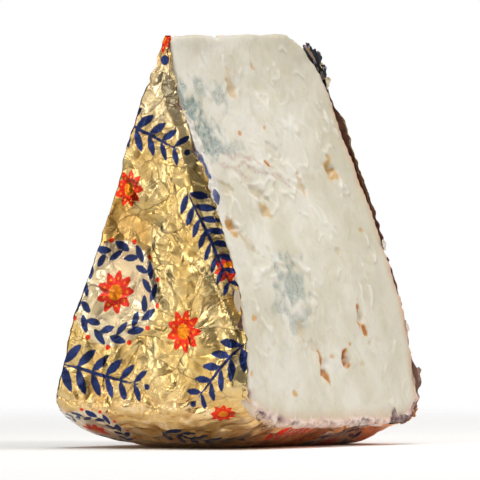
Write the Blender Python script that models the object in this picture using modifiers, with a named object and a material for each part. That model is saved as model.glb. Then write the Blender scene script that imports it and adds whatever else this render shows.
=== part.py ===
"""A wedge of soft gorgonzola that stands on its rim, tip up, in what is left of its foil.

The wedge is a sector of a whole wheel. The wheel's axis runs along X, the front cut faces -Y and the
tip points up. The foil covers the wheel's two flat faces and its rim, and leaves both cuts bare.
Lengths are in metres, +Z is up, and the origin is under the wedge, in the middle of its flat spot.
"""

import math

import bmesh
import bpy
from mathutils import Matrix, Vector, noise

# The whole wedge, measured on the cheese unless a line says otherwise
HEIGHT = 0.150  # from the table to the tip: the wheel's radius
LEFT_TIP = 0.0555  # from the middle of the wheel's height to its left flat face, at the tip
LEFT_RIM = 0.0590  # and at the rim
RIGHT_TIP = 0.0515
RIGHT_RIM = 0.0590
TIP_FRONT = 0.0052  # how far the front cut stands before the middle at the tip
RIM_FRONT = 0.0410  # and at the rim
TIP_BACK = -0.0034  # the back cut likewise, behind the middle
RIM_BACK = 0.0405
TIP_TILT = 0.0006  # the tip rises this much from the middle to its right end

# Form of a soft cheese that has settled on its rim
FRONT_START = 1.6  # the front cut stays steep near the tip
FRONT_BULGE = 2.7  # and swells over the lower half
BACK_BULGE = 1.3
FOOT_SPREAD = 0.0045  # the flat faces spread this much towards the table
FOOT_POWER = 4.0
RIM_CURVE = 0.100  # radius of the sagging rim seen along the wheel's axis
FLAT_HALF = 0.016  # half depth of the spot that the weight has pressed flat
RIM_CORNERS = {-1: (0.042, 0.012), 1: (0.016, 0.010)}  # width and height of the round edges at the rim
TIP_CORNERS = {-1: (0.003, 0.004), 1: (0.027, 0.026)}  # and at the tip, where the right one is worn off
CUT_SWELL = 0.0007  # lumps that the wire leaves on the cuts
CUT_SWELL_SIZE = 0.016

# The foil
FOIL = 0.0009  # thickness, with the air that its creases hold
FOIL_GAP = 0.0006  # clear of the cheese all over
CREASE = 0.0013  # how far its creases stand out
CREASE_SIZE = 0.020
FOIL_TIP_CORNERS = {-1: (0.003, 0.004), 1: (0.022, 0.015)}  # it keeps more of its corner than the cheese

# Mesh spacing
ACROSS_STEPS = 24  # the cheese and the foil share these two, so that they stay clear of each other
HEIGHT_STEPS = 30
DEPTH_STEPS = 9
FOIL_DEPTH_STEPS = 15

# Holes in the front cut: (x, z, width, height, depth, tilt in degrees)
FRONT_HOLES = [
    (0.0352, 0.1012, 0.0060, 0.0072, 0.0018, 8),
    (0.0253, 0.0458, 0.0034, 0.0130, 0.0020, 14),
    (0.0115, 0.0318, 0.0066, 0.0062, 0.0022, -20),
    (-0.0056, 0.0282, 0.0040, 0.0120, 0.0020, 30),
    (-0.0235, 0.0850, 0.0085, 0.0050, 0.0016, -30),
    (-0.0505, 0.0812, 0.0078, 0.0066, 0.0016, 0),
    (-0.0176, 0.1300, 0.0095, 0.0060, 0.0014, -35),
]

# Holes in the back cut, in the same form
BACK_HOLES = [
    (-0.0330, 0.0980, 0.0075, 0.0060, 0.0022, 20),
    (0.0180, 0.0760, 0.0040, 0.0130, 0.0024, -35),
    (-0.0120, 0.0510, 0.0080, 0.0060, 0.0020, 15),
    (0.0350, 0.0360, 0.0046, 0.0120, 0.0024, 50),
    (-0.0400, 0.0290, 0.0060, 0.0070, 0.0022, -10),
    (0.0060, 0.1160, 0.0060, 0.0050, 0.0018, 0),
]

# Places where the foil's edge stands out past a cut: (left or right face, height, half length, reach)
FRONT_TEARS = [
    (1, 0.019, 0.008, 0.0036),
    (1, 0.055, 0.020, 0.0008),
    (1, 0.094, 0.021, 0.0016),
    (1, 0.118, 0.014, 0.0022),
    (1, 0.139, 0.009, 0.0014),
    (-1, 0.100, 0.016, 0.0010),
]
BACK_TEARS = [
    (-1, 0.120, 0.016, 0.0012),
    (-1, 0.045, 0.020, 0.0016),
    (1, 0.070, 0.024, 0.0018),
    (1, 0.130, 0.012, 0.0022),
]

CHEESE_COLOUR = (0.72, 0.67, 0.55, 1)
FOIL_COLOUR = (0.78, 0.60, 0.27, 1)


def clear_scene():
    for obj in list(bpy.data.objects):
        bpy.data.objects.remove(obj)


def new_collection(name):
    collection = bpy.data.collections.new(name)
    bpy.context.scene.collection.children.link(collection)
    return collection


def new_material(name, colour, roughness, metallic):
    material = bpy.data.materials.new(name)
    material.use_nodes = True
    shader = material.node_tree.nodes["Principled BSDF"]
    shader.inputs["Base Color"].default_value = colour
    shader.inputs["Roughness"].default_value = roughness
    shader.inputs["Metallic"].default_value = metallic
    return material


def mix(start, end, share):
    return start + (end - start) * share


def front_cut(c):
    """Distance of the front cut before the middle, c running from 0 at the tip to 1 at the rim."""
    return mix(TIP_FRONT, RIM_FRONT, 1 - (1 - c**FRONT_START) ** FRONT_BULGE)


def back_cut(c):
    return mix(TIP_BACK, RIM_BACK, 1 - (1 - c) ** BACK_BULGE)


def half_width(side, c):
    """Distance of the left or right flat face from the middle of the wheel's height."""
    tip, rim = (LEFT_TIP, LEFT_RIM) if side < 0 else (RIGHT_TIP, RIGHT_RIM)
    return mix(tip, rim, c) + FOOT_SPREAD * c**FOOT_POWER


def rim_height(y):
    """Height of the rim over the flat spot, on a round wheel that its weight has pressed flat there."""
    arc = RIM_CURVE - math.sqrt(RIM_CURVE**2 - y**2)
    pressed = RIM_CURVE - math.sqrt(RIM_CURVE**2 - FLAT_HALF**2)
    return max(0.0, arc - pressed)


def round_corner(inset, height, run, drop):
    """Pulls a point of a square corner, at its distances from the two faces, onto the arc that rounds it."""
    across = 1 - inset / run
    along = 1 - height / drop
    if across > 0 and along > 0:
        pull = max(across, along) / math.hypot(across, along)
        inset = run * (1 - across * pull)
        height = drop * (1 - along * pull)
    return inset, height


def wedge_point(a, y, c, tip_corners, grow=0.0):
    """A point of the wedge: a from -1 at the left face to 1 at the right one, y front to back, c tip to rim.

    grow pushes the flat faces, the rim and the round edges outwards.
    """
    side = -1 if a < 0 else 1
    half = half_width(side, c) + grow
    inset = half - abs(a) * half
    lowest = FOIL + FOIL_GAP + rim_height(y) - grow
    z = mix(HEIGHT, lowest, c)
    if c > 0.5:
        run, rise = RIM_CORNERS[side]
        inset, above = round_corner(inset, z - lowest, run + grow, rise + grow)
        z = lowest + above
    else:
        run, drop = tip_corners[side]
        inset, below = round_corner(inset, HEIGHT - z, run, drop)
        z = HEIGHT - below + grow * max(0.0, 1 - below / drop)
    return Vector((side * (half - inset), y, z + TIP_TILT * a * (1 - c)))


def tear_reach(places, a, c):
    """How far a torn foil edge reaches past the cut on the left or right face."""
    reach = 0.0
    for side, height, half_length, longest in places:
        share = 1 - abs((1 - c) * HEIGHT - height) / half_length
        if a == side and share > 0:
            reach = max(reach, longest * math.sqrt(share))
    return reach


def cut_swell(x, z, seed):
    """Soft lumps on a cut, fading at its outline so that the edges stay true."""
    place = Vector((x, seed, z)) / CUT_SWELL_SIZE
    edge = min(RIGHT_TIP - abs(x), z - CUT_SWELL_SIZE, HEIGHT - z) / CUT_SWELL_SIZE
    return CUT_SWELL * noise.noise(place) * max(0.0, min(1.0, edge))


def subdivide_along(bm, axis, cuts):
    """Cuts every edge of the box that runs along an axis into equal lengths."""
    edges = []
    for edge in bm.edges:
        run = edge.verts[1].co - edge.verts[0].co
        if abs(run[axis]) > 0.99 * run.length:
            edges.append(edge)
    bmesh.ops.subdivide_edges(bm, edges=edges, cuts=cuts, use_grid_fill=True)


def make_hole_cutter(collection, name, holes, cut, side):
    """One mesh of rough pebbles, each sunk into a cut where the cheese has a hole."""
    bm = bmesh.new()
    for x, z, width, height, depth, tilt in holes:
        c = (HEIGHT - z) / HEIGHT
        pebble = bmesh.ops.create_icosphere(bm, subdivisions=2, radius=1.0)["verts"]
        for vert in pebble:
            vert.co *= 1 + 0.22 * noise.noise(vert.co * 1.4 + Vector((x, z, depth)) * 900)
        shape = Matrix.Diagonal((width / 2, depth, height / 2, 1))
        turn = Matrix.Rotation(math.radians(tilt), 4, "Y")
        move = Matrix.Translation((x, side * cut(c), z))
        bmesh.ops.transform(bm, matrix=move @ turn @ shape, verts=pebble)
    mesh = bpy.data.meshes.new(name)
    bm.to_mesh(mesh)
    bm.free()
    obj = bpy.data.objects.new(name, mesh)
    obj.hide_render = True
    obj.display_type = "WIRE"
    collection.objects.link(obj)
    return obj


def make_cheese(collection, cutters):
    """A box cut into a grid and bent into the wedge, with the holes of the two cuts taken out."""
    bm = bmesh.new()
    bmesh.ops.create_cube(bm, size=2.0)
    for axis, steps in enumerate((ACROSS_STEPS, DEPTH_STEPS, HEIGHT_STEPS)):
        subdivide_along(bm, axis, steps - 1)
    for vert in bm.verts:
        a, b, up = vert.co
        c = (1 - up) / 2
        y = mix(-front_cut(c), back_cut(c), (b + 1) / 2)
        point = wedge_point(a, y, c, TIP_CORNERS)
        if abs(b) > 0.999:
            point.y += b * cut_swell(point.x, point.z, b)
        vert.co = point
    mesh = bpy.data.meshes.new("cheese")
    bm.to_mesh(mesh)
    bm.free()
    mesh.shade_smooth()
    mesh.set_sharp_from_angle(angle=math.radians(40))
    mesh.materials.append(new_material("cream_paste", CHEESE_COLOUR, 0.45, 0.0))
    obj = bpy.data.objects.new("cheese", mesh)
    collection.objects.link(obj)
    for name, holes, cut, side in (
        ("front_holes", FRONT_HOLES, front_cut, -1),
        ("back_holes", BACK_HOLES, back_cut, 1),
    ):
        boolean = obj.modifiers.new(name, "BOOLEAN")
        boolean.operation = "DIFFERENCE"
        boolean.object = make_hole_cutter(cutters, name, holes, cut, side)
    return obj


def foil_crease(step, y):
    """How far the crumpled foil stands off the cheese, from 0 in its valleys."""
    place = Vector((step * HEIGHT / HEIGHT_STEPS, y, 0.3)) / CREASE_SIZE
    ridge = 1 - abs(noise.noise(place)) * 2.2
    fine = 1 - abs(noise.noise(place * 2.3)) * 2.2
    return CREASE * max(0.0, 0.7 * ridge + 0.3 * fine)


def wrap_point(step, share):
    """A point on the foil's inner side, step by step from the left tip over the rim to the right tip."""
    if step <= HEIGHT_STEPS:
        a, c = -1.0, step / HEIGHT_STEPS
    elif step < HEIGHT_STEPS + ACROSS_STEPS:
        a, c = mix(-1, 1, (step - HEIGHT_STEPS) / ACROSS_STEPS), 1.0
    else:
        a, c = 1.0, (2 * HEIGHT_STEPS + ACROSS_STEPS - step) / HEIGHT_STEPS
    front = -front_cut(c) - tear_reach(FRONT_TEARS, a, c)
    back = back_cut(c) + tear_reach(BACK_TEARS, a, c)
    y = mix(front, back, share)
    point = wedge_point(a, y, c, FOIL_TIP_CORNERS, FOIL_GAP + foil_crease(step, y))
    point.z = max(point.z, FOIL)  # the table presses the creases flat
    return point


def make_foil(collection):
    """One crumpled sheet bent round the left face, the rim and the right face, and given its thickness."""
    steps = 2 * HEIGHT_STEPS + ACROSS_STEPS
    bm = bmesh.new()
    bmesh.ops.create_grid(bm, x_segments=steps, y_segments=FOIL_DEPTH_STEPS, size=1.0)
    for vert in bm.verts:
        step = round((vert.co.x + 1) / 2 * steps)
        vert.co = wrap_point(step, (vert.co.y + 1) / 2)
    bmesh.ops.reverse_faces(bm, faces=bm.faces)
    mesh = bpy.data.meshes.new("foil_wrap")
    bm.to_mesh(mesh)
    bm.free()
    mesh.materials.append(new_material("gold_foil", FOIL_COLOUR, 0.3, 1.0))
    obj = bpy.data.objects.new("foil_wrap", mesh)
    collection.objects.link(obj)
    solidify = obj.modifiers.new("thickness", "SOLIDIFY")
    solidify.thickness = FOIL
    solidify.offset = 1.0
    return obj


def main():
    clear_scene()
    parts = new_collection("gorgonzola_wedge")
    cutters = new_collection("cutters")
    make_cheese(parts, cutters)
    make_foil(parts)


main()
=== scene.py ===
"""A wedge of gorgonzola that stands on its rim, tip up, in what is left of its printed gold foil.

The wheel's axis runs along X, the front cut faces -Y and the tip points up. Lengths are in metres.
"""

import math
import random

import bmesh
import bpy
import numpy as np
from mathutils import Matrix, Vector, geometry, kdtree, noise
from mathutils.bvhtree import BVHTree


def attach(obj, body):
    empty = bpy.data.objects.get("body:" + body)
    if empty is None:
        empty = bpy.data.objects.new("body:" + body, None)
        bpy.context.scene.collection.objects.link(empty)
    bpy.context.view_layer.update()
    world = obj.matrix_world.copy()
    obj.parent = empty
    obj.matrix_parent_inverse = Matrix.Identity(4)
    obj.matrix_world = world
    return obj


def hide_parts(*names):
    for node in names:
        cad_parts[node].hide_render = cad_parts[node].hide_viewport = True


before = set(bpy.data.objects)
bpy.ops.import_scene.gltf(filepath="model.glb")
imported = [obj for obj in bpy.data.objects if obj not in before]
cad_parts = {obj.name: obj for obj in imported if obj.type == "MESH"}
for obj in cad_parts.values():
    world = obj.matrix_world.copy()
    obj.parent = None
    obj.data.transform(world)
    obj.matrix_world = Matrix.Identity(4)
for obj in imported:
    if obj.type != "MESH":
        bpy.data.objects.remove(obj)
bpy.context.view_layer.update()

MM = 0.001


# The paste: one lump of soft, moist, uncooked cheese, cut out of the wheel with a wire. The wire smeared
# both cuts and opened gas holes and patches of blue mould; the rind under the foil is damp and pinkish.

PASTE_VOXEL = 1.17 * MM  # spacing of the mesh, and half of it on the front cut
CUT_FACING = 0.5  # a surface that faces front or back more than this is a cut, and the rest is rind
PASTE_FLOOR = 1.1  # millimetres that the paste stays above the floor, for the foil under it
EXTRA_RIDGES = 70
RIDGES_IN_FRONT = 0.35  # share of the extra ridges that is on the front cut
BACK_HOLES = 26
FAR = 99.0  # millimetres, for what isn't near anything

# Holes and hollows of the front cut, in millimetres: x, z, half width, half height, tilt in degrees, extra
# depth, strength of the stain and its share of rust
FRONT_HOLLOWS = [
    (35.0, 101.8, 2.7, 4.6, 14, 0.3, 1.0, 0.1),
    (36.2, 99.4, 3.0, 2.4, 0, 0.2, 1.0, 0.2),
    (24.4, 48.4, 1.5, 5.0, 6, 0.5, 1.0, 1.0),
    (26.6, 42.4, 1.4, 3.2, -35, 0.5, 1.0, 0.9),
    (11.4, 33.4, 1.8, 2.2, -20, 0.5, 1.0, 1.0),
    (10.8, 30.4, 3.2, 1.5, 8, 0.3, 1.0, 1.0),
    (-7.6, 31.4, 1.4, 3.6, -12, 0.4, 1.0, 0.9),
    (-4.4, 25.8, 1.3, 3.8, -30, 0.4, 0.95, 0.85),
    (-21.6, 86.2, 3.8, 2.0, 30, 0.0, 0.75, 0.05),
    (-50.5, 80.6, 3.4, 3.2, 0, 0.2, 1.0, 0.35),
    (-42.0, 74.5, 5.5, 2.4, 38, 0.7, 0.3, 0.0),
    (-17.6, 130.4, 4.0, 2.6, 35, 0.1, 0.55, 0.1),
    (-19.5, 135.4, 3.8, 2.6, 60, 0.2, 0.3, 0.0),
    (-44.6, 94.6, 5.0, 2.2, 12, 0.7, 0.2, 0.0),
    (-24.0, 92.4, 6.0, 2.2, 10, 0.8, 0.22, 0.0),
    (-2.4, 108.0, 5.0, 2.4, 20, 0.6, 0.1, 0.0),
    (10.4, 95.2, 2.0, 4.2, -8, 0.6, 0.5, 0.0),
    (-20.2, 42.6, 2.6, 3.4, 15, 0.6, 0.35, 0.0),
    (-12.0, 37.0, 5.0, 2.0, 10, 0.5, 0.15, 0.0),
    (-0.1, 138.3, 2.2, 1.0, 30, 0.3, 0.6, 0.1),
    (-28.7, 20.1, 1.9, 0.9, 30, 0.3, 0.85, 0.4),
    (-2.4, 116.1, 1.5, 0.8, 0, 0.3, 0.7, 0.4),
    (-21.3, 113.9, 1.6, 0.9, 0, 0.3, 0.8, 0.7),
    (-8.8, 102.9, 1.8, 0.9, 35, 0.3, 0.9, 1.0),
    (-52.3, 47.4, 1.6, 1.1, 0, 0.3, 0.8, 0.6),
    (-58.5, 27.7, 1.3, 1.0, 0, 0.2, 0.7, 0.4),
    (20.3, 71.2, 2.0, 1.2, 0, 0.5, 0.3, 0.0),
    (42.9, 78.5, 1.2, 0.8, 0, 0.2, 0.6, 0.5),
    (1.2, 33.2, 1.6, 1.0, 0, 0.3, 0.6, 0.6),
    (14.8, 37.4, 1.0, 0.8, 0, 0.3, 0.8, 0.8),
    (29.2, 37.2, 1.4, 0.9, 0, 0.3, 0.4, 0.3),
    (22.4, 29.9, 2.0, 1.0, 0, 0.3, 0.35, 0.2),
]
# Patches of blue mould, in millimetres: x, z, half width, half height, strength
FRONT_MOULD = [
    (-58.0, 130.0, 7.0, 4.5, 0.8),
    (-53.0, 122.0, 8.0, 7.5, 1.0),
    (-49.0, 114.0, 9.0, 7.0, 1.0),
    (-43.0, 130.5, 6.0, 4.5, 0.5),
    (-43.5, 109.5, 7.0, 4.5, 0.75),
    (-29.0, 127.0, 6.0, 4.5, 0.45),
    (-31.0, 109.0, 9.0, 2.5, 0.4),
    (-20.0, 59.0, 9.5, 8.5, 0.65),
    (-30.0, 51.5, 7.5, 5.0, 0.4),
    (-22.0, 46.0, 6.0, 4.0, 0.4),
]
BACK_MOULD = [
    (-20.0, 96.0, 12.0, 9.0, 0.9),
    (26.0, 62.0, 11.0, 8.0, 0.8),
    (-34.0, 44.0, 9.0, 10.0, 0.7),
    (8.0, 30.0, 8.0, 5.0, 0.5),
    (34.0, 112.0, 7.0, 6.0, 0.6),
]
# Ridges that the wire raised on the front cut, in millimetres: half width, height, points (x, z)
FRONT_RIDGES = [
    (1.0, 0.45, [(42, 126), (43, 123), (46, 119)]),
    (1.0, 0.45, [(33, 113), (34, 111), (35, 107)]),
    (0.8, 0.35, [(49, 118), (50, 113)]),
    (1.0, 0.55, [(39, 95), (40, 93), (39, 89)]),
    (1.0, 0.40, [(-1, 129), (1, 125), (4, 123), (5, 127), (-1, 129)]),
    (1.8, 0.50, [(12, 131), (16, 128), (18, 126)]),
    (0.9, 0.35, [(10, 137), (17, 139), (17, 135), (11, 133)]),
    (1.2, 0.45, [(12, 117), (17, 116), (21, 115)]),
    (1.4, 0.70, [(-13, 103), (-11, 98), (-6, 93), (0, 91.5), (7, 95)]),
    (1.3, 0.55, [(-9, 101), (-1, 99), (5, 96)]),
    (1.2, 0.60, [(-3, 104), (6, 103), (10, 100), (11, 96)]),
    (1.2, 0.60, [(-29, 96), (-23, 95), (-15, 96), (-8, 98)]),
    (1.2, 0.60, [(-29, 90), (-20, 89.5), (-12, 93)]),
    (1.2, 0.50, [(-28, 104), (-21, 102), (-13, 103)]),
    (1.1, 0.55, [(-38, 99), (-31, 96), (-29, 92), (-30, 88)]),
    (1.1, 0.55, [(-48, 93), (-42, 90), (-40, 84)]),
    (1.3, 0.65, [(-56, 87), (-50, 85), (-43, 77), (-35, 70)]),
    (1.5, 0.80, [(-46, 57), (-42, 63), (-33, 66), (-22, 68), (-12, 67), (-6, 64)]),
    (1.5, 0.80, [(-6, 64), (-4, 60), (-6, 54), (-11, 49), (-19, 44)]),
    (1.0, 0.50, [(-38, 59), (-31, 63), (-20, 64)]),
    (1.3, 0.50, [(-50, 53), (-48, 48), (-42, 43)]),
    (0.9, 0.35, [(36, 67), (37, 59), (35, 50)]),
    (0.9, 0.40, [(45, 76), (45, 67)]),
    (0.9, 0.40, [(37, 93), (42, 95), (43, 93), (38, 90), (37, 93)]),
    (1.2, 0.40, [(-21, 141), (-20, 135), (-26, 129)]),
    (1.0, 0.35, [(3, 86), (8, 83), (10, 79)]),
    (1.0, 0.35, [(13, 86), (17, 82), (18, 77)]),
    (1.0, 0.35, [(-31, 76), (-30, 71), (-21, 68)]),
    (1.0, 0.40, [(-21, 41), (-16, 38), (-19, 33)]),
]
# Fine pinkish veins between them, and a notch that the wire left in the tip
FRONT_VEINS = [
    [(-42, 109), (-33, 106), (-22, 105), (-14, 103), (-7, 101)],
    [(-36, 101), (-26, 103), (-17, 100), (-9, 99), (1, 96)],
    [(-44, 103), (-34, 101), (-27, 98)],
]
TIP_NOTCH = (-22.5, 2.4, 1.0)  # x, half width, depth


def merged_copy(node_name, name):
    """A new object with a CAD node's solid, whose loose triangles are joined."""
    bm = bmesh.new()
    bm.from_mesh(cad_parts[node_name].data)
    bmesh.ops.remove_doubles(bm, verts=bm.verts, dist=0.002 * MM)
    mesh = bpy.data.meshes.new(name)
    bm.to_mesh(mesh)
    bm.free()
    obj = bpy.data.objects.new(name, mesh)
    bpy.context.scene.collection.objects.link(obj)
    return obj


def settle(obj):
    """Makes an object's modifiers part of its mesh."""
    depsgraph = bpy.context.evaluated_depsgraph_get()
    mesh = bpy.data.meshes.new_from_object(obj.evaluated_get(depsgraph))
    obj.modifiers.clear()
    obj.data = mesh


def subdivide(obj, cuts, chosen=lambda edge: True):
    """Cuts the chosen edges of an object's mesh, with the faces between them."""
    bm = bmesh.new()
    bm.from_mesh(obj.data)
    bmesh.ops.subdivide_edges(bm, edges=[e for e in bm.edges if chosen(e)], cuts=cuts, use_grid_fill=True)
    bm.to_mesh(obj.data)
    bm.free()


def read_points(mesh):
    """The places, in millimetres, and the facings of a mesh's points."""
    places = np.empty(len(mesh.vertices) * 3, dtype=np.float32)
    facings = np.empty(len(mesh.vertices) * 3, dtype=np.float32)
    mesh.vertices.foreach_get("co", places)
    mesh.vertex_normals.foreach_get("vector", facings)
    return places.reshape(-1, 3).astype(float) / MM, facings.reshape(-1, 3).astype(float)


def write_attribute(mesh, name, values):
    """Keeps one number for each point of a mesh, for its material to read."""
    attribute = mesh.attributes.new(name, "FLOAT", "POINT")
    attribute.data.foreach_set("value", np.asarray(values, dtype=np.float32))


def noise_at(places, size, seed):
    """Smooth noise, mostly within half of 1 either way, with features of a size in millimetres."""
    return np.array([noise.noise(Vector(place)) for place in (places / size + seed).tolist()])


def steps(values, low, high):
    """0 at low, 1 at high, and smooth between."""
    share = np.clip((values - low) / (high - low), 0, 1)
    return share * share * (3 - 2 * share)


def reach_of(x, z, centre_x, centre_z, half_width, half_height, tilt=0.0):
    """Distance from an ellipse's centre, as a share of its radius."""
    angle = math.radians(tilt)
    along_x = (x - centre_x) * math.cos(angle) - (z - centre_z) * math.sin(angle)
    along_z = (x - centre_x) * math.sin(angle) + (z - centre_z) * math.cos(angle)
    return np.hypot(along_x / half_width, along_z / half_height)


def gap_to_line(x, z, points):
    """Distance from a line through a few points."""
    gap = np.full(len(x), FAR)
    for (start_x, start_z), (end_x, end_z) in zip(points, points[1:]):
        run_x, run_z = end_x - start_x, end_z - start_z
        share = ((x - start_x) * run_x + (z - start_z) * run_z) / (run_x**2 + run_z**2)
        share = np.clip(share, 0, 1)
        gap = np.minimum(gap, np.hypot(x - start_x - share * run_x, z - start_z - share * run_z))
    return gap


foil_tree = BVHTree.FromObject(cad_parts["foil_wrap"], bpy.context.evaluated_depsgraph_get())
paste = merged_copy("cheese", "paste")
remesh = paste.modifiers.new("fine", "REMESH")
remesh.mode = "VOXEL"
remesh.voxel_size = PASTE_VOXEL
settle(paste)
subdivide(paste, 1, lambda edge: all(face.normal.y < -CUT_FACING for face in edge.link_faces))

mesh = paste.data
places, facings = read_points(mesh)
x, y, z = places.T
skin = np.array([foil_tree.find_nearest(Vector(place) * MM)[3] / MM for place in places.tolist()])
on_front = steps(-facings[:, 1], CUT_FACING - 0.2, CUT_FACING + 0.2)
on_back = steps(facings[:, 1], CUT_FACING - 0.2, CUT_FACING + 0.2)
on_cut = on_front + on_back

# The soft surface, and the drawn-out ridges, curled and patchy, that a wire leaves all over a cut
coarse, middle, fine = (noise_at(places, size, seed) for size, seed in ((15, 1.3), (5.2, 4.1), (2.2, 7.7)))
bent_x = x + 14 * noise_at(places, 17, 12.1)
bent_z = z + 16 * noise_at(places, 21, 15.4)
drawn = np.stack([(bent_x + 0.35 * bent_z) * 2.4, np.sign(y) * 40, bent_z], axis=1)
smear = np.clip(1 - np.abs(noise_at(drawn, 15, 3.3)) * 4, 0, 1) ** 2
smear *= steps(noise_at(places, 24, 9.9), -0.1, 0.3) * steps(skin, 3, 8)
lift = 0.5 * coarse + on_cut * (0.28 * smear + 0.3 * middle + 0.08 * fine)

# The rind swells a little past the foot of the cuts, and elsewhere keeps clear of the foil's creases
cut_tree = kdtree.KDTree(int(np.sum(on_cut > 0.5)))
for index in np.flatnonzero(on_cut > 0.5).tolist():
    cut_tree.insert(places[index], index)
cut_tree.balance()
from_cut = np.array([cut_tree.find(place)[2] for place in places.tolist()])
swollen = 1.1 * steps(z, 24, 10) * steps(from_cut, 5, 1)
lift += (1 - on_cut) * (0.1 + 0.3 * middle + swollen - 0.9 * steps(from_cut, 2, 7))

# The ridges of the front cut, and others at random on both cuts
warp_x = x + 2.0 * noise_at(places, 5.0, 21.1)
warp_z = z + 2.0 * noise_at(places, 5.0, 24.2)
# Where the ridges stand is kept, for a painted highlight along them
ridge = np.zeros(len(x))
for half_width, height, points in FRONT_RIDGES:
    profile = on_front * steps(gap_to_line(warp_x, warp_z, points), half_width * 1.8, 0)
    profile *= steps(fine + 1.2 * middle, -0.45, 0.15)
    lift += 0.8 * height * profile
    ridge = np.maximum(ridge, 0.8 * profile)
rng = random.Random(5)
for _ in range(EXTRA_RIDGES):
    side = on_front if rng.random() < RIDGES_IN_FRONT else on_back
    centre_x, centre_z = rng.uniform(-52, 50), rng.uniform(20, 140)
    radius, start, span = rng.uniform(2.5, 8), rng.uniform(-180, 180), rng.uniform(30, 75)
    turn = np.degrees(np.arctan2(warp_z - centre_z, warp_x - centre_x)) - start
    off_arc = np.abs((turn + 180) % 360 - 180) / span
    off_line = np.abs(np.hypot(warp_x - centre_x, warp_z - centre_z) - radius)
    profile = side * steps(off_line, 1.6, 0) * steps(off_arc, 1, 0.5)
    lift += 0.3 * profile
    ridge = np.maximum(ridge, 0.7 * profile)

# Holes and hollows, stained where whey has dried in them, and rusty in some
stain, rust = np.zeros(len(x)), np.zeros(len(x))
for centre_x, centre_z, half_width, half_height, tilt, depth, strength, rusty in FRONT_HOLLOWS:
    reach = reach_of(x, z, centre_x, centre_z, half_width, half_height, tilt) + 0.7 * fine
    inside = on_front * steps(reach, 1.2, 0.7)
    lift -= depth * inside
    stain = np.maximum(stain, strength * inside)
    rust = np.maximum(rust, strength * rusty * inside)
for _ in range(BACK_HOLES):
    centre_x, centre_z = rng.uniform(-50, 48), rng.uniform(14, 136)
    half_width, half_height = rng.uniform(1, 4), rng.uniform(1, 3)
    inside = on_back * steps(reach_of(x, z, centre_x, centre_z, half_width, half_height) + fine, 1.2, 0.6)
    lift -= 0.6 * inside
    stain = np.maximum(stain, rng.uniform(0.2, 0.9) * inside)
    rust = np.maximum(rust, rng.uniform(0, 0.7) * inside)

# Blue mould, which is a little sunk and crusty, and the fine veins
mould = np.zeros(len(x))
ragged = 0.7 * middle + 0.7 * noise_at(places, 3.0, 31.0) + on_back * noise_at(places, 9.0, 17.7)
for side, patches in ((on_front, FRONT_MOULD), (on_back, BACK_MOULD)):
    for centre_x, centre_z, half_width, half_height, strength in patches:
        reach = reach_of(x, z, centre_x, centre_z, half_width, half_height) + ragged
        mould = np.maximum(mould, side * strength * steps(reach, 1.35, 0.5))
lift += mould * (0.5 * noise_at(places, 1.9, 8.0) - 0.25)

vein = np.zeros(len(x))
for points in FRONT_VEINS:
    vein = np.maximum(vein, on_front * steps(gap_to_line(warp_x, warp_z, points), 1.3, 0.2))

# The damp rind: its lumps show along the foot of both cuts, and it blushes there and down the right edge
foot = steps(z + 2.0 * middle, 11.0, 6.0) + on_cut * steps(skin + 2.5 * middle, 4.2, 2.2) * steps(z, 30, 14)
foot = np.clip(foot, 0, 1)
lift += on_cut * foot * (0.6 + 2.4 * middle + 1.2 * fine)
# Painted shade: the crevices between the lumps by the foil sink, and are painted purple-grey
shaded_crevice = foot * on_cut * steps(skin + 3.0 * middle + 1.6 * fine, 1.9, 0.7)
lift -= 0.7 * shaded_crevice
blush = np.maximum(0.5 * (1 - on_cut), 0.25 * steps(skin, 2.2, 0.8))
blush = np.maximum(blush, 0.8 * steps(skin, 6.5, 1.0) * steps(x, 20, 45))
blush = np.maximum(blush, 0.6 * steps(skin, 8, 2) * steps(z, 26, 12))

notch_x, notch_width, notch_depth = TIP_NOTCH
lift -= notch_depth * steps(np.abs(x - notch_x), notch_width, 0.4) * steps(z, 147.5, 149.5)

places += facings * lift[:, None]
places[:, 2] = np.maximum(places[:, 2], PASTE_FLOOR)
mesh.vertices.foreach_set("co", (places * MM).ravel())
masks = {
    "ridge": np.clip(ridge + 0.6 * smear * on_cut, 0, 1), "stain": stain, "rust": rust, "mould": mould,
    "vein": vein, "foot": foot, "shaded_crevice": shaded_crevice, "blush": blush,
}
for name, values in masks.items():
    write_attribute(mesh, name, values)
mesh.shade_smooth()


def linear(hex_colour):
    """A linear colour from an sRGB hex value."""
    channels = [int(hex_colour[start:start + 2], 16) / 255 for start in (1, 3, 5)]
    curve = [c / 12.92 if c <= 0.04045 else ((c + 0.055) / 1.055) ** 2.4 for c in channels]
    return (*curve, 1.0)


def node(tree, kind, inputs=(), output=None, **settings):
    """Adds a node with its settings, and gives its first output or the one named. Its inputs come in the
    order of its sockets or by name, each linked from an output or set to a value."""
    made = tree.nodes.new("ShaderNode" + kind)
    for name, value in settings.items():
        setattr(made, name, value)
    shown = [socket for socket in made.inputs if socket.enabled]
    for key, value in inputs.items() if isinstance(inputs, dict) else enumerate(inputs):
        socket = made.inputs[key] if isinstance(key, str) else shown[key]
        if isinstance(value, bpy.types.NodeSocket):
            tree.links.new(value, socket)
        elif isinstance(value, str):
            socket.default_value = linear(value)
        else:
            socket.default_value = value
    return next(socket for socket in made.outputs if socket.enabled and output in (None, socket.name))


GENTLE = {"interpolation_type": "SMOOTHSTEP"}  # for a value that starts and ends its climb gently
ALL_OVER = 1.0  # a mask that leaves nothing out


def tinted(tree, colour, tints):
    """A colour with tints laid over it in turn, each with its mask, its strength and its own colour. A
    strength is a number, or a value that it follows, between two limits, with the strength at both."""
    for mask, strength, tint in tints:
        if isinstance(strength, tuple):
            strength = node(tree, "MapRange", strength, **GENTLE)
        share = node(tree, "Math", (mask, strength), operation="MULTIPLY")
        colour = node(tree, "Mix", (share, colour, tint), data_type="RGBA")
    return colour


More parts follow.
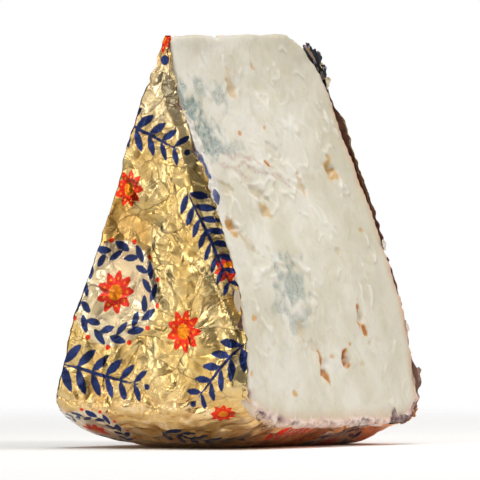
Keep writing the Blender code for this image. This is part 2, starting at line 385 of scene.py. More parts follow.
def new_material(name):
    """A material, its node tree, its Principled BSDF, and the places on the object in millimetres."""
    material = bpy.data.materials.new(name)
    material.use_nodes = True
    tree = material.node_tree
    in_mm = node(tree, "VectorMath", (node(tree, "TexCoord", output="Object"), 1 / MM), operation="SCALE")
    return material, tree, tree.nodes["Principled BSDF"], in_mm


# Moist soft cheese: light goes a few millimetres into it, and wet fat gives it a broad soft shine.
paste_material, tree, shader, in_mm = new_material("moist_gorgonzola_paste")
place_x, place_z = (node(tree, "SeparateXYZ", (in_mm,), output=axis) for axis in "XZ")
# Each noise by the size of its features in millimetres, its detail, roughness and distortion
cloud, mottle, speckle, threads, clots = (
    node(tree, "TexNoise", {
        "Vector": in_mm, "Scale": 1 / size, "Detail": detail, "Roughness": roughness,
        "Distortion": distortion,
    })
    for size, detail, roughness, distortion in (
        (20.0, 4.0, 0.6, 0.0),
        (5.88, 5.0, 0.6, 0.8),
        (1.25, 6.0, 0.7, 1.0),
        (5.0, 5.0, 0.75, 1.6),
        (4.55, 4.0, 0.6, 0.6),
    )
)
painted = {name: node(tree, "Attribute", output="Fac", attribute_name=name) for name in masks}
# Darker and yellower towards the right of the paste, and more so higher up
right_and_up_tone = node(tree, "MapRange", (place_x, 4.0, 46.0, 0.0, 0.55), **GENTLE)
off_middle = node(tree, "Math", (threads, 0.5), operation="SUBTRACT")
off_thread = node(tree, "Math", (off_middle,), operation="ABSOLUTE")
foot_colour = tinted(tree, "#CBADA6", [(ALL_OVER, (clots, 0.42, 0.56), "#E9D9CF")])
# Rust, with painted shade that darkens it towards the middle of each hollow
rust_with_core_shade = tinted(tree, "#DB9230", [(ALL_OVER, (painted["rust"], 0.35, 0.95), "#AC570E")])
colour = tinted(tree, "#D6D0BC", [
    (ALL_OVER, (cloud, 0.38, 0.62), "#E3DED1"),
    (ALL_OVER, (mottle, 0.55, 0.72, 0.0, 0.45), "#C9BC9B"),
    (ALL_OVER, (mottle, 0.44, 0.30, 0.0, 0.45), "#C6C7B8"),
    (right_and_up_tone, (place_z, 20.0, 80.0, 0.4, 1.0), "#C3BBA3"),
    # Painted highlight: paler colour along the ridges and smears
    (ALL_OVER, (painted["ridge"], 0.2, 0.9, 0.0, 0.65), "#E9E6DC"),
    (painted["blush"], 1.0, "#CDB08F"),
    (ALL_OVER, (painted["blush"], 0.45, 0.75, 0.0, 0.55), "#DFA78E"),
    (painted["foot"], 0.85, foot_colour),
    # Painted shade, purple-grey, in the rind's crevices by the foil
    (painted["shaded_crevice"], (speckle, 0.3, 0.55, 0.5, 0.95), "#6E545C"),
    (painted["vein"], (speckle, 0.42, 0.58, 0.1, 0.6), "#B9958A"),
    # Blue mould: its pale body, then its threads, then dust
    (painted["mould"], (mottle, 0.35, 0.6, 0.7, 1.0), "#A3AFA6"),
    (painted["mould"], (off_thread, 0.032, 0.006, 0.0, 0.9), "#57696D"),
    (painted["mould"], (speckle, 0.52, 0.66, 0.0, 0.6), "#7F8E8B"),
    (painted["stain"], (speckle, 0.3, 0.6, 0.75, 0.95), "#CBA560"),
    (painted["rust"], (speckle, 0.35, 0.6, 0.7, 1.0), rust_with_core_shade),
])
tree.links.new(colour, shader.inputs["Base Color"])
wet_shine = node(tree, "MapRange", (speckle, 0.3, 0.7, 0.3, 0.46), **GENTLE)
tree.links.new(wet_shine, shader.inputs["Roughness"])
shader.inputs["Subsurface Weight"].default_value = 0.35
shader.inputs["Subsurface Radius"].default_value = (1.0, 0.7, 0.4)
shader.inputs["Subsurface Scale"].default_value = 2 * MM
shader.inputs["IOR"].default_value = 1.45
relief = node(tree, "Math", (speckle, 0.3, mottle), operation="MULTIPLY_ADD")
bump = node(tree, "Bump", {"Height": relief, "Strength": 0.5, "Distance": 0.8 * MM})
tree.links.new(bump, shader.inputs["Normal"])

paste.data.materials.append(paste_material)
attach(paste, "root")
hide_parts("cheese")


# The wrap: gold-lacquered aluminium foil on thin paper, printed in navy, red and amber, pressed round the
# wheel by hand. It is creased all over, and the wire cut it along with the cheese.

FOIL_THICKNESS = 0.15 * MM
FOIL_FLOOR = 0.02  # millimetres that it stays above the floor
FLAT_FACE = 60.0  # millimetres from the middle of the wheel's height to its flat faces
# Creases, in millimetres: spacing of the corners, height, and whether they come in patches
CREASES = [(28.0, 3.4, False), (14.0, 2.4, False), (6.5, 0.8, True), (3.2, 0.28, True)]
MOST_CREASE = 1.9  # millimetres that a crease stands out or in at most
PLEATS = (4.6, 1.8)  # spacing and height of the long pleats of one zone
PLEAT_STRETCH = 4.5  # the long pleats are this many times as long as they are apart
SHEET_RUN = 480.0  # the corners are spread over this much of the sheet, which is a little more than it has
SHEET_BREADTH = 150.0
SHARPEST_BEND = 6.0  # degrees between two faces, above which their edge shows as a crease
# Inks in the order of printing: colour, how well it covers the gold, and how much of the metal it leaves
INKS = {
    "pale": ("#EFE6D2", 0.5, 0.75),
    "red": ("#DD2410", 0.97, 0.9),
    "amber": ("#F08A10", 0.95, 0.9),
    "navy": ("#072660", 0.98, 0.95),
}

# Only the outer side of the foil's solid is kept, as a sheet of fine four-sided faces
wrap = merged_copy("foil_wrap", "wrap")
paste_tree = BVHTree.FromObject(paste, bpy.context.evaluated_depsgraph_get())
bm = bmesh.new()
bm.from_mesh(wrap.data)
inner = []
for face in bm.faces:
    centre = face.calc_center_median()
    outwards = centre - paste_tree.find_nearest(centre)[0]
    if face.normal.dot(outwards) < 0.5 * outwards.length:
        inner.append(face)
bmesh.ops.delete(bm, geom=inner, context="FACES")
bmesh.ops.join_triangles(
    bm, faces=bm.faces, angle_face_threshold=math.pi, angle_shape_threshold=math.pi
)
bm.to_mesh(wrap.data)
bm.free()
smooth = wrap.modifiers.new("smooth", "SUBSURF")
smooth.levels = 1
smooth.render_levels = 1
smooth.boundary_smooth = "PRESERVE_CORNERS"
settle(wrap)
subdivide(wrap, 3)


def crease_field(spacing, height, seed, stretch=1.0):
    """A sheet of flat facets between random corners, to read the height of a creased foil from."""
    rng = random.Random(seed)
    run = SHEET_RUN / stretch
    corners = []
    for _ in range(round(run * SHEET_BREADTH / spacing**2)):
        along = rng.uniform(-run / 2, run / 2) * stretch
        corners.append(Vector((along, rng.uniform(-SHEET_BREADTH / 2, SHEET_BREADTH / 2))))
    made = geometry.delaunay_2d_cdt(corners, [], [], 0, 0.001)
    points = [Vector((corner.x, corner.y, rng.uniform(0, height))) for corner in made[0]]
    return BVHTree.FromPolygons(points, made[2])


def crease_heights(field, along, across):
    """How high a creased sheet stands at each place on it."""
    heights = []
    for run, breadth in zip(along.tolist(), across.tolist()):
        hit = field.ray_cast(Vector((run, breadth, 50)), Vector((0, 0, -1)))[0]
        heights.append(hit.z if hit else 0.0)
    return np.array(heights)


mesh = wrap.data
places, facings = read_points(mesh)
x, y, z = places.T
# Each point's place on the sheet laid flat, in millimetres: along it from tip to tip, and across it
along = x + z * np.clip(x / 40, -1, 1)
across = -y
count = len(x)

bm = bmesh.new()
bm.from_mesh(mesh)
on_edge = [vert.index for vert in bm.verts if vert.is_boundary]
bm.free()
edge_tree = kdtree.KDTree(len(on_edge))
for index in on_edge:
    edge_tree.insert(Vector(places[index]) * MM, index)
edge_tree.balance()
from_edge = np.array([edge_tree.find(Vector(place) * MM)[2] / MM for place in places.tolist()])

flat = np.stack([along, across, np.zeros(count)], axis=1)
bent_along = along + 1.2 * noise_at(flat, 18, 2.2)
bent_across = across + 1.2 * noise_at(flat, 18, 6.6)
standing = np.zeros(count)
for index, (spacing, height, in_patches) in enumerate(CREASES):
    heights = crease_heights(crease_field(spacing, height, 40 + index), bent_along, bent_across)
    share = 1.0
    if in_patches:
        share = 0.15 + 1.6 * steps(noise_at(flat, 24, 30 + index), -0.15, 0.35)
        share += 0.7 * steps(z, 118, 140) + 1.2 * steps(z, 32, 14)
    standing += share * (heights - height / 2)
standing += 0.6 * noise_at(flat, 8, 5.5)

# Long pleats slant across a zone of the left flat face. Near its edges and where it stands, the foil is
# pressed flatter.
pleated = steps(across, -8, 14) * steps(-along, 66, 84) * steps(-along, 134, 100)
turned_along = bent_along * 0.86 + bent_across * 0.5
turned_across = bent_across * 0.86 - bent_along * 0.5
pleat_field = crease_field(*PLEATS, 77, PLEAT_STRETCH)
pleats = crease_heights(pleat_field, turned_along * 0.9, turned_across * 0.9)
standing += pleated * (pleats - PLEATS[1] / 2)
settled = steps(z, 0.4, 5.0)
loose = 0.35 + 0.65 * steps(from_edge, 0, 7)
push = settled * (MOST_CREASE * np.tanh(standing * loose / MOST_CREASE) - 0.45)

# It is pressed to the cheese along its front edge, but not where the cheese's right edge stands back, and
# less deep at the left tip, which it would cut through
snug = steps(from_edge, 6, 0.5) * steps(y, 5, -4) * steps(x, 40, 20) * settled
push -= 1.2 * snug
off_left_tip = np.maximum(steps(z, 142, 126), steps(x, -20, 20))
push = np.maximum(push, -0.6 - 1.8 * off_left_tip)

# The inner side shows in a band of changing width where the cheese's right edge stands back from it
tucked = steps(x, 30, 52) * steps(from_edge, 9, 0) * steps(y, 5, -4) * steps(z, 24, 32)
wide_places = steps(np.abs(z - 113), 12, 5) + 0.55 * steps(np.abs(z - 88), 20, 14)
wide_places += 0.4 * steps(np.abs(z - 52), 18, 12)
push -= 0.8 * tucked * (1 - np.clip(wide_places, 0, 1))
places += facings * push[:, None]
ragged = noise_at(flat, 3.1, 2.0) * (0.6 + 0.7 * steps(y, 5, -4)) * steps(from_edge, 2.0, 0)
places[:, 1] += ragged - np.sign(y) * tucked * (1.5 - 1.6 * np.clip(wide_places, 0, 1))
places[:, 2] = np.maximum(places[:, 2], FOIL_FLOOR)
# Where the foil stands lowest, kept for painted shade in its creases
write_attribute(mesh, "valley_shade", steps(standing, 0.2, -1.6))
mesh.vertices.foreach_set("co", (places * MM).ravel())
mesh.shade_smooth()
mesh.set_sharp_from_angle(angle=math.radians(SHARPEST_BEND))

# The print is a stock pattern of leaf sprays, wreaths and small flowers. Each ink is kept as the distance
# to the edge of its nearest motif, in millimetres, negative inside. Places are on the sheet laid flat:
# across it towards the front cut, and up the left flat face, with the rim and the right flat face below it.
sheet_x = across
sheet_y = -(along + FLAT_FACE)
inks = {ink: np.full(count, FAR) for ink in INKS}


def print_disc(ink, centre_x, centre_y, radius):
    """A round spot."""
    shape = np.hypot(sheet_x - centre_x, sheet_y - centre_y) - radius
    inks[ink] = np.minimum(inks[ink], shape)


def print_leaf(ink, centre_x, centre_y, degrees, half_length, half_width):
    """A shape between two arcs that meet in points."""
    angle = math.radians(degrees)
    dx, dy = sheet_x - centre_x, sheet_y - centre_y
    run = dx * math.cos(angle) + dy * math.sin(angle)
    rise = dy * math.cos(angle) - dx * math.sin(angle)
    radius = (half_length**2 + half_width**2) / (2 * half_width)
    shape = np.hypot(run, np.abs(rise) + radius - half_width) - radius
    inks[ink] = np.minimum(inks[ink], shape)


def round_places(centre_x, centre_y, radius, number, start=0.0):
    """Places on a circle, each with its direction in degrees."""
    for n in range(number):
        degrees = 360 * n / number + start
        angle = math.radians(degrees)
        yield centre_x + radius * math.cos(angle), centre_y + radius * math.sin(angle), degrees


def print_flower(centre_x, centre_y, radius):
    """A red flower of nine petals with an amber heart."""
    for px, py, degrees in round_places(centre_x, centre_y, radius * 0.6, 9):
        print_leaf("red", px, py, degrees, radius * 0.42, radius * 0.2)
    print_disc("red", centre_x, centre_y, radius * 0.5)
    print_disc("amber", centre_x, centre_y, radius * 0.36)
    for px, py, _ in round_places(centre_x, centre_y, radius * 0.62, 9):
        print_disc("amber", px, py, radius * 0.07)


def print_wreath(centre_x, centre_y, radius):
    """A pale disc with navy leaves round it in pairs, red berries between them, and a red flower in it."""
    print_disc("pale", centre_x, centre_y, radius)
    for px, py, degrees in round_places(centre_x, centre_y, radius * 0.88, 13):
        print_leaf("navy", px, py, degrees + 62, radius * 0.2, radius * 0.08)
    for px, py, degrees in round_places(centre_x, centre_y, radius * 0.7, 13, 9):
        print_leaf("navy", px, py, degrees + 118, radius * 0.17, radius * 0.07)
    for px, py, _ in round_places(centre_x, centre_y, radius * 1.02, 13, 14):
        print_disc("red", px, py, radius * 0.055)
    print_flower(centre_x, centre_y, radius * 0.42)


def print_spray(start_x, start_y, degrees, pairs, leaf_length, ink="navy"):
    """A stem with pairs of leaves that get shorter, and a bud at its end."""
    step_x, step_y = math.cos(math.radians(degrees)), math.sin(math.radians(degrees))
    pitch = leaf_length * 0.62
    for n in range(pairs):
        px, py = start_x + step_x * pitch * n, start_y + step_y * pitch * n
        length = leaf_length * (1 - 0.35 * n / pairs)
        for side in (-1, 1):
            lean = degrees + side * 50
            leaf_x = px + length * 0.54 * math.cos(math.radians(lean))
            leaf_y = py + length * 0.54 * math.sin(math.radians(lean))
            print_leaf(ink, leaf_x, leaf_y, lean, length / 2, length * 0.17)
    middle = (pairs - 1) * pitch / 2
    print_leaf(ink, start_x + step_x * middle, start_y + step_y * middle, degrees, middle + pitch * 0.7, 0.6)
    print_disc(ink, start_x + step_x * pitch * pairs, start_y + step_y * pitch * pairs, 1.1)


print_spray(-14, 117, -22, 5, 9.5)
print_flower(-11, 93, 6.5)
print_spray(15, 92, -62, 8, 8.0)
print_wreath(-16, 57, 18)
print_flower(31, 66, 5.5)
print_spray(-37, 33, -12, 6, 10.0)
print_flower(14, 44, 7.5)
print_spray(38, 40, 226, 5, 9.0)
print_flower(2, 146, 5.0)
print_disc("navy", 3.5, 138.5, 1.8)
print_wreath(-26, 2, 15)
print_spray(4, 6, -38, 6, 9.0)
print_flower(30, 14, 5.0)
print_spray(34, -24, -80, 6, 8.0, "red")
print_flower(0, -38, 8.0)
print_spray(-20, -44, -60, 7, 11.0)
print_wreath(22, -86, 17)
print_spray(-34, -112, 20, 5, 11.0)
print_flower(30, -116, 8.0)
print_wreath(-12, -150, 18)
print_spray(28, -150, -100, 6, 11.0)
print_flower(-8, -184, 8.5)
print_spray(24, -196, -160, 6, 10.0)
print_wreath(-6, -232, 14)
print_flower(4, -256, 4.0)



def write_sheet(mesh, sheet_x, sheet_y):
    """Keeps each point's place on the flat sheet, in millimetres, as the mesh's UV map."""
    sheet = mesh.uv_layers.new(name="sheet_mm")
    corner_points = np.empty(len(mesh.loops), dtype=np.int32)
    mesh.loops.foreach_get("vertex_index", corner_points)
    flat_places = np.stack([sheet_x, sheet_y], axis=1)[corner_points].astype(np.float32)
    sheet.data.foreach_set("uv", flat_places.ravel())


for ink, distances in inks.items():
    write_attribute(mesh, ink, distances)
write_sheet(mesh, sheet_x, sheet_y)

# Gold-lacquered foil: a bright rolled metal under yellow lacquer, mirror-like between sharp creases.
gold_material, tree, shader, in_mm = new_material("gold_lacquered_foil")
on_sheet = node(tree, "UVMap", uv_map="sheet_mm")
place_x, place_z = (node(tree, "SeparateXYZ", (in_mm,), output=axis) for axis in "XZ")
grain, patches, worn = (
    node(tree, "TexNoise", {
        "Vector": on_sheet, "Scale": 1 / size, "Detail": detail, "Roughness": roughness,
        "Distortion": distortion,
    })
    for size, detail, roughness, distortion in (
        (1.667, 5.0, 0.65, 0.0),
        (20.0, 3.0, 0.6, 0.0),
        (9.09, 5.0, 0.6, 0.7),
    )
)
# Long slanting facets between fine folds, about 15 by 9 mm and 6 by 4 mm
drift = node(tree, "TexNoise", {"Vector": on_sheet, "Scale": 1 / 16.67, "Detail": 2.0}, output="Color")
bent = node(tree, "VectorMath", (drift, (14, 14, 0), on_sheet), operation="MULTIPLY_ADD")
slant = {"Vector": bent, "Rotation": (0, 0, math.radians(-35)), "Scale": (0.6, 1, 1)}
slanted = node(tree, "Mapping", slant)
facets, small_facets = (
    node(tree, "TexVoronoi", (slanted, 1 / size), voronoi_dimensions="2D", feature="DISTANCE_TO_EDGE")
    for size in (9.09, 3.846)
)
painted_facet_tone = node(tree, "TexNoise", {"Vector": slanted, "Scale": 1 / 5.88, "Detail": 4.0, "Roughness": 0.7})
# On the rim, painted dark and bright patches stand in for reflections in its crinkles, and a painted warm
# copper reflection grows towards its right end
low_down = node(tree, "MapRange", (place_z, 28.0, 6.0), **GENTLE)
towards_right = node(tree, "MapRange", (place_x, -50.0, 10.0, 0.25, 1.0), **GENTLE)
rim_warm_reflection = node(tree, "Math", (low_down, towards_right), operation="MULTIPLY")
# Painted shade: thin dark lines along some of the folds, fainter on the rim
folds = node(tree, "MapRange", (facets, 0.045, 0.005, 0.0, 0.6), **GENTLE)
small_folds = node(tree, "MapRange", (small_facets, 0.08, 0.02, 0.0, 0.2), **GENTLE)
all_folds = node(tree, "Math", (folds, small_folds), operation="ADD")
off_rim = node(tree, "MapRange", (place_z, 12.0, 30.0, 0.4, 1.0), **GENTLE)
crease_line_shade = node(tree, "Math", (all_folds, off_rim), operation="MULTIPLY")
colour = tinted(tree, "#D3B36E", [
    (ALL_OVER, (patches, 0.35, 0.65), "#E0CA94"),
    # Painted highlight: the foil is paler towards the top
    (ALL_OVER, (place_z, 104.0, 126.0, 0.0, 0.6), "#F6E9C8"),
    # Painted shade: darker, warmer gold low in the creases
    (node(tree, "Attribute", output="Fac", attribute_name="valley_shade"), 0.6, "#C4923F"),
    # Painted shade and painted highlight on the rim's facets
    (low_down, (painted_facet_tone, 0.51, 0.6, 0.0, 0.7), "#A06C2C"),
    (low_down, (painted_facet_tone, 0.47, 0.4, 0.0, 0.6), "#FFF1CC"),
    # Painted warm reflection, copper, on the rim
    (rim_warm_reflection, (worn, 0.35, 0.6, 0.55, 0.9), "#F59A4A"),
    (ALL_OVER, (worn, 0.66, 0.72, 0.0, 0.4), "#C98F45"),
    # Painted shade along some of the folds
    (crease_line_shade, (worn, 0.38, 0.55, 0.2, 1.0), "#7B5A28"),
])
# The inks, whose edges bleed a little
metal = 1.0
bleed = node(tree, "MapRange", (grain, 0.3, 0.7, -0.14, 0.14), **GENTLE)
for ink, (ink_colour, cover, metal_left) in INKS.items():
    distance = node(tree, "Attribute", output="Fac", attribute_name=ink)
    edge = node(tree, "Math", (distance, bleed), operation="ADD")
    share = node(tree, "MapRange", (edge, 0.18, -0.18, 0.0, cover), **GENTLE)
    colour = node(tree, "Mix", (share, colour, ink_colour), data_type="RGBA")
    left = node(tree, "Math", (share, metal_left - 1, 1.0), operation="MULTIPLY_ADD")
    metal = node(tree, "Math", (metal, left), operation="MULTIPLY")
tree.links.new(colour, shader.inputs["Base Color"])
tree.links.new(metal, shader.inputs["Metallic"])
tree.links.new(node(tree, "MapRange", (grain, 0.3, 0.7, 0.17, 0.24), **GENTLE), shader.inputs["Roughness"])
shader.inputs["Coat Weight"].default_value = 0.15
shader.inputs["Coat Roughness"].default_value = 0.1
worn_crumple = node(tree, "MapRange", (worn, 0.45, 0.6, 0.12, 0.55), **GENTLE)
rim_crumple = node(tree, "Math", (low_down, 0.6), operation="MULTIPLY")
crumpled = node(tree, "Math", (worn_crumple, rim_crumple), operation="MAXIMUM")
small_relief = node(tree, "Math", (small_facets, crumpled), operation="MULTIPLY")
relief = node(tree, "Math", (facets, 1.5, small_relief), operation="MULTIPLY_ADD")
bump = node(tree, "Bump", {"Height": relief, "Strength": 0.6, "Distance": MM})
tree.links.new(bump, shader.inputs["Normal"])

# Thin paper glued to the foil, soaked brown by the rind; at the right tip it is painted near black as shade,
# with pale flecks, and gold flecks that are painted glints
backing_material, tree, shader, in_mm = new_material("stained_paper_backing")
on_sheet = node(tree, "UVMap", uv_map="sheet_mm")
place_x, place_z = (node(tree, "SeparateXYZ", (in_mm,), output=axis) for axis in "XZ")
stains, flecks = (
    node(tree, "TexNoise", {"Vector": on_sheet, "Scale": 1 / size, "Detail": detail, "Roughness": 0.6})
    for size, detail in ((6.25, 5.0), (2.857, 3.0))
)
torn_tip_shade_and_glints = tinted(tree, "#1B1B28", [
    (ALL_OVER, (flecks, 0.54, 0.58), "#A9A3B2"),
    (ALL_OVER, (flecks, 0.63, 0.66), "#C79A4A"),
])
right_side = node(tree, "MapRange", (place_x, 0.0, 20.0), **GENTLE)
colour = tinted(tree, "#4A2A22", [
    (ALL_OVER, (stains, 0.4, 0.58), "#6F4A3C"),
    (ALL_OVER, (place_z, 34.0, 26.0, 0.0, 0.8), "#9A7A6C"),
    # Painted shade and painted glints at the right tip
    (right_side, (place_z, 126.0, 134.0), torn_tip_shade_and_glints),
])
tree.links.new(colour, shader.inputs["Base Color"])
shader.inputs["Roughness"].default_value = 0.5

# The one sheet is made in two halves, which meet edge to edge along the middle of the rim
mesh.materials.append(gold_material)
mesh.materials.append(backing_material)
for name, side in (("wrap_left", -1), ("wrap_right", 1)):
    bm = bmesh.new()
    bm.from_mesh(mesh)
    other_half = [face for face in bm.faces if face.calc_center_median().x * side < 0]
    bmesh.ops.delete(bm, geom=other_half, context="FACES")
    half = bpy.data.objects.new(name, mesh.copy())
    bm.to_mesh(half.data)
    bm.free()
    bpy.context.scene.collection.objects.link(half)
    thickness = half.modifiers.new("thickness", "SOLIDIFY")
    thickness.thickness = FOIL_THICKNESS
    thickness.offset = -1.0
    thickness.material_offset = 1
    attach(half, "root")
    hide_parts("foil_wrap")
bpy.data.objects.remove(wrap)


# Torn and turned edges of the foil: a strip of the left edge that turns over the front cut with its pale
# side out, tatters along the right edge, and a scrap stuck to the damp foot. All are foil too.

# The turned strip, in millimetres: height and width at a few places, top to bottom
TURNED_STRIP = [(123, 0.6), (118, 3.2), (112, 4.2), (106, 6.0), (98, 8.2), (92, 6.6), (86, 0.8)]
# Print on it: x, z, half width, half height, tilt in degrees
STRIP_PRINT = [(-60.4, 119.0, 1.6, 3.0, -20), (-57.2, 104.5, 1.7, 5.5, -14), (-55.6, 90.5, 2.0, 2.8, -20)]
# Tatters, in millimetres: height, how far they stand out, half length, half width, turn in degrees, and the
# side that shows, which is 0 for gold, 1 for stained backing and 2 for pale
TATTERS = [
    (147.5, 0.2, 2.4, 0.9, -35, 1),
    (145.0, 0.4, 2.2, 1.0, -20, 1),
    (143.0, 0.6, 2.6, 1.2, -60, 1),
    (140.0, 0.4, 2.2, 1.0, -30, 0),
    (137.0, 0.7, 2.6, 1.2, -75, 1),
    (134.5, 0.5, 2.2, 1.0, -45, 0),
    (131.5, 0.3, 2.4, 0.9, -80, 2),
    (72.5, 0.3, 2.2, 0.8, -60, 2),
    (68.0, 0.4, 1.8, 0.8, -80, 1),
    (42.0, 0.3, 2.0, 0.8, -55, 2),
    (27.0, 0.4, 2.6, 1.0, -80, 1),
]
# The scrap's corners, in millimetres: x and z
SCRAP_CORNERS = [
    (40.0, 8.2), (42.4, 10.2), (44.2, 13.8), (46.0, 10.6), (51.0, 11.2), (56.6, 9.8), (55.0, 8.2),
]


TATTER_SETBACK = 1.9  # millimetres that a tatter's middle lies back from the edge


def front_of_paste(x, z):
    """How far along Y the front cut lies, in millimetres, at a place well inside its edges."""
    place = Vector((max(-56.0, min(x, 56.0)), -100.0, max(z, 8.0))) * MM
    return paste_tree.ray_cast(place, Vector((0, 1, 0)))[0].y / MM


# The wrap's left and right edges along the front cut
left_edge = [place for place in places[on_edge] if place[0] < -40 and place[1] < 0 and place[2] > 80]
left_edge = np.array(sorted(left_edge, key=lambda place: place[2]))
right_edge = [Vector(place) for place in places[on_edge] if place[0] > 20 and place[1] < 10]


def strip_place(down, across):
    """A point of the turned strip, from its shares of the way down and across."""
    heights, widths = zip(*TURNED_STRIP)
    z = heights[0] + (heights[-1] - heights[0]) * down
    width = np.interp(z, heights[::-1], widths[::-1]) * (1 + 0.3 * noise.noise(Vector((0, 3.1, z / 3))))
    start_x = np.interp(z, left_edge[:, 2], left_edge[:, 0])
    start_y = np.interp(z, left_edge[:, 2], left_edge[:, 1])
    x = start_x + width * across
    bulge = 0.35 + 0.4 * math.sin(math.pi * across) + 0.3 * noise.noise(Vector((x / 3, 1.1, z / 4)))
    onto_cut = steps(x, -61.0, -57.0)
    return Vector((x, (1 - onto_cut) * start_y + onto_cut * (front_of_paste(x, z) - bulge), z))


def tatter_place(height, stands_out, half_length, half_width, turn):
    """A ragged leaf of foil at a height of the right edge."""
    root = min((place for place in right_edge if abs(place.z - height) < 1.5), key=lambda place: place.y)
    angle = math.radians(turn)

    def place_of(s, t):
        run = (2 * s - 1) * half_length
        rise = (2 * t - 1) * half_width * (1 - 0.6 * abs(2 * s - 1) ** 1.5)
        rise *= 1 + 1.2 * noise.noise(Vector((s * 2.5, height, 1)))
        over = run * math.cos(angle) - rise * math.sin(angle) + stands_out - TATTER_SETBACK
        up = run * math.sin(angle) + rise * math.cos(angle)
        return root + Vector((over, -0.4 - 0.4 * abs(rise), up))

    return place_of


def add_sheet(bm, columns, rows, place_of, material_index, crumpled):
    """A grid whose points go where place_of says for their two shares, 0 to 1, crumpled a little."""
    made = bmesh.ops.create_grid(bm, x_segments=columns, y_segments=rows, size=1.0)["verts"]
    for vert in made:
        place = place_of((vert.co.x + 1) / 2, (vert.co.y + 1) / 2)
        crumple = crumpled * (abs(noise.noise(place / 2.3)) + abs(noise.noise(place / 5)))
        vert.co = (place + Vector((0, -crumple, 0.3 * crumple))) * MM
    for face in {face for vert in made for face in vert.link_faces}:
        face.material_index = material_index


# Dry white paper on the back of the foil, with blurred navy spots on it
pale_material, tree, shader, in_mm = new_material("pale_side_of_foil")
blotch = node(tree, "TexNoise", {"Vector": in_mm, "Scale": 1 / 3.333, "Detail": 3.0, "Roughness": 0.6})
distance = node(tree, "Attribute", output="Fac", attribute_name="navy")
bleed = node(tree, "MapRange", (blotch, 0.3, 0.7, -0.7, 0.7), **GENTLE)
edge = node(tree, "Math", (distance, bleed), operation="ADD")
colour = tinted(tree, "#EAE4D8", [
    (ALL_OVER, (blotch, 0.42, 0.6), "#D2CBC2"),
    (ALL_OVER, (edge, 0.45, -0.2, 0.0, 0.95), "#1C3370"),
])
tree.links.new(colour, shader.inputs["Base Color"])
shader.inputs["Roughness"].default_value = 0.3

# A scrap of the same paper that dried on the rind and took its colour
scrap_material, tree, shader, in_mm = new_material("rind_stained_scrap")
stains = node(tree, "TexNoise", {"Vector": in_mm, "Scale": 1 / 2.5, "Detail": 4.0, "Roughness": 0.6})
colour = tinted(tree, "#6B4E48", [(ALL_OVER, (stains, 0.4, 0.6), "#9A8584")])
tree.links.new(colour, shader.inputs["Base Color"])
shader.inputs["Roughness"].default_value = 0.5

strip_bm, tatter_bm, scrap_bm = bmesh.new(), bmesh.new(), bmesh.new()
add_sheet(strip_bm, 70, 12, strip_place, 0, 0.2)
for height, stands_out, half_length, half_width, turn, material_index in TATTERS:
    place_of = tatter_place(height, stands_out, half_length, half_width, turn)
    add_sheet(tatter_bm, 12, 7, place_of, material_index, 0.4)
corners = [scrap_bm.verts.new((x * MM, 0, z * MM)) for x, z in SCRAP_CORNERS]
scrap_bm.faces.new(corners[::-1])
bmesh.ops.triangulate(scrap_bm, faces=scrap_bm.faces[:])
bmesh.ops.subdivide_edges(scrap_bm, edges=scrap_bm.edges[:], cuts=5, use_grid_fill=True)
for vert in scrap_bm.verts:
    x, z = vert.co.x / MM, vert.co.z / MM
    vert.co.y = (front_of_paste(x, z) - 0.5 - 0.9 * abs(noise.noise(vert.co * 300))) * MM
for name, bm, materials in (
    ("turned_strip", strip_bm, (pale_material,)),
    ("tatters", tatter_bm, (gold_material, backing_material, pale_material)),
    ("stuck_scrap", scrap_bm, (scrap_material,)),
):
    mesh = bpy.data.meshes.new(name)
    bm.to_mesh(mesh)
    bm.free()
    for material in materials:
        mesh.materials.append(material)
    x, y, z = read_points(mesh)[0].T
    printed = [(reach_of(x, z, *patch) - 1) * patch[2] for patch in STRIP_PRINT]
    for ink in INKS:
        write_attribute(mesh, ink, np.min(printed, axis=0) if ink == "navy" else np.full(len(x), FAR))
    write_attribute(mesh, "valley_shade", np.zeros(len(x)))
    write_sheet(mesh, x, z)
    piece = bpy.data.objects.new(name, mesh)
    bpy.context.scene.collection.objects.link(piece)
    thickness = piece.modifiers.new("thickness", "SOLIDIFY")
    thickness.thickness = FOIL_THICKNESS
    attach(piece, "root")


# The studio: a pale floor that fades into the white round it, and large soft boxes with dark gaps between
# them, which the foil mirrors.

floor_mesh = bpy.data.meshes.new("floor")
bm = bmesh.new()
bmesh.ops.create_circle(bm, cap_ends=True, segments=96, radius=4.0)
bm.to_mesh(floor_mesh)
bm.free()
floor = bpy.data.objects.new("floor", floor_mesh)
bpy.context.scene.collection.objects.link(floor)
# Pale matt board, which thins out to nothing far from the wedge, so that no horizon shows
floor_material, tree, shader, in_mm = new_material("pale_matt_board")
shader.inputs["Base Color"].default_value = linear("#FBFAF9")
shader.inputs["Roughness"].default_value = 0.9
from_wedge = node(tree, "VectorMath", (in_mm,), operation="LENGTH")
thinned = node(tree, "MapRange", (from_wedge, 100.0, 800.0, 1.0, 0.0), **GENTLE)
tree.links.new(thinned, shader.inputs["Alpha"])
floor.data.materials.append(floor_material)

# The foil mirrors dim walls that brighten overhead, and the camera sees plain white behind the wedge
world = bpy.data.worlds.new("studio")
bpy.context.scene.world = world
world.use_nodes = True
tree = world.node_tree
direction = node(tree, "TexCoord", output="Generated")
height = node(tree, "SeparateXYZ", (direction,), output="Z")
seen = node(tree, "LightPath", output="Is Camera Ray")
backdrop = tinted(tree, "#35322E", [(ALL_OVER, (height, -0.1, 0.9), "#8C8C8C"), (seen, 1.0, "#FFFFFF")])
tree.links.new(backdrop, tree.nodes["Background"].inputs["Color"])

TARGET = Vector((0, 0, 75 * MM))  # the middle of the wedge's height


def direction_at(azimuth, elevation):
    """The direction from the wedge at an azimuth and an elevation in degrees."""
    turn, rise = math.radians(azimuth), math.radians(elevation)
    return Vector((math.sin(turn) * math.cos(rise), -math.cos(turn) * math.cos(rise), math.sin(rise)))


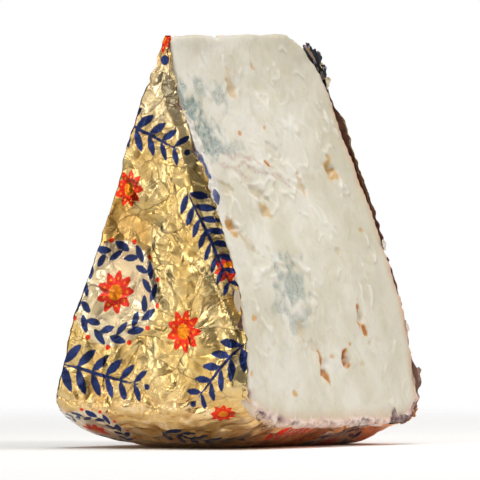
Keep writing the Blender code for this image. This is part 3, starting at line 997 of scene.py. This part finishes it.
def soft_box(name, azimuth, elevation, distance, width, height, radiance, tint="#FFFFFF"):
    """A flat lamp that faces the wedge, at a direction from it in degrees and a distance in metres."""
    light = bpy.data.lights.new(name, "AREA")
    light.shape = "RECTANGLE"
    light.size = width
    light.size_y = height
    light.energy = radiance * math.pi * width * height
    light.color = linear(tint)[:3]
    lamp = bpy.data.objects.new(name, light)
    bpy.context.scene.collection.objects.link(lamp)
    away = direction_at(azimuth, elevation)
    lamp.location = TARGET + away * distance
    lamp.rotation_euler = away.to_track_quat("Z", "Y").to_euler()


soft_box("foil_wide", -118, 15, 1.4, 1.8, 1.4, 0.16, "#FFE8C0")
soft_box("foil_middle", -120, 8, 1.25, 0.8, 0.8, 0.4, "#FFEFD0")
soft_box("foil_core", -120, 3, 1.2, 0.34, 0.5, 0.65)
soft_box("foil_glint", -142, 10, 1.2, 0.12, 0.5, 4.0)
soft_box("foil_spark", -108, 22, 1.2, 0.12, 0.3, 5.0)
soft_box("foil_edge_spark", -124, -4, 1.2, 0.1, 0.16, 4.0)
soft_box("key", 20, 40, 1.2, 0.55, 0.55, 6.3, "#FFFCF8")
soft_box("top", -20, 82, 1.2, 0.9, 0.9, 4.4)
soft_box("side_sheen", 60, 12, 1.3, 0.22, 0.8, 1.6)
soft_box("low_fill", -62, 6, 1.3, 0.9, 0.4, 1.0)


# The camera: level with the wedge and far off, as its almost parallel edges show. It stands to the left of
# the front cut, so that the cut and the foil of the left flat face both show.

CAMERA_AZIMUTH = -60.0
CAMERA_ELEVATION = 0.4
CAMERA_DISTANCE = 5.0
SENSOR_WIDTH = 36.0  # millimetres
PIXELS_PER_METRE = 2740.0  # at the wedge, in the photograph's frame
FRAME_PIXELS = 480.0
AIM_PIXEL = (236.0, 240.5)  # where the middle of the wedge's height stands in the photograph's frame

camera_data = bpy.data.cameras.new("camera")
camera_data.sensor_width = SENSOR_WIDTH
camera_data.lens = PIXELS_PER_METRE * CAMERA_DISTANCE / FRAME_PIXELS * SENSOR_WIDTH
camera = bpy.data.objects.new("camera", camera_data)
bpy.context.scene.collection.objects.link(camera)
away = direction_at(CAMERA_AZIMUTH, CAMERA_ELEVATION)
aside = Vector((0, 0, 1)).cross(away).normalized()
aim = TARGET + aside * (FRAME_PIXELS / 2 - AIM_PIXEL[0]) / PIXELS_PER_METRE
aim.z += (AIM_PIXEL[1] - FRAME_PIXELS / 2) / PIXELS_PER_METRE
camera.location = aim + away * CAMERA_DISTANCE
camera.rotation_euler = away.to_track_quat("Z", "Y").to_euler()
bpy.context.scene.camera = camera
bpy.context.scene.view_settings.view_transform = "Standard"
